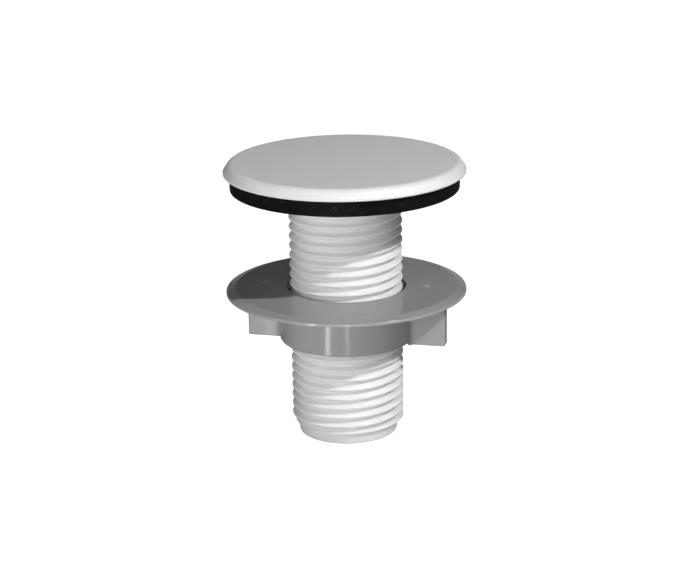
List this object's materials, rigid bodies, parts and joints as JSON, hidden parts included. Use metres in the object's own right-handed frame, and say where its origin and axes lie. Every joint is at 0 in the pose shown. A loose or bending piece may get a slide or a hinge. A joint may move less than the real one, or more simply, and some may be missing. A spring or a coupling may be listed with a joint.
{
  "type": "thru hull fitting",
  "caption": "Closed-top thru hull fitting: a disc-headed hollow threaded plug with a sealing gasket and a winged, flanged back nut that screws along its stem.",
  "frame": {"origin": "centre of the lower end of the threaded stem, on the stem's axis", "axes": "+Z along the stem towards the disc; +X towards one wing of the back nut, so the wings lie along X"},
  "size_m": [0.0446, 0.0446, 0.052],
  "materials": {
    "white_plastic": "smooth injection-moulded gloss with faint flow marks",
    "black_rubber": "moulded rubber with fine pale specks",
    "grey_plastic": "injection-moulded satin gloss with flow marks"
  },
  "bodies": {
    "plug": {"threaded_plug": "white_plastic"},
    "gasket": {"sealing_gasket": "black_rubber"},
    "backnut": {"flanged_backnut": "grey_plastic"}
  },
  "joints": [
    {"name": "nut_turn", "type": "hinge", "parent": "plug", "child": "gasket", "pos_m": [0, 0, 0.0283], "axis": [0, 0, 1], "range_deg": [-3420, 3690]},
    {"name": "nut_travel", "type": "slide", "parent": "gasket", "child": "backnut", "axis": [0, 0, 1], "range_m": [-0.01726, 0.01863]}
  ],
  "couplings": [
    {"joint": "nut_travel", "follows": "nut_turn", "m_per_rad": 0.00028875}
  ]
}
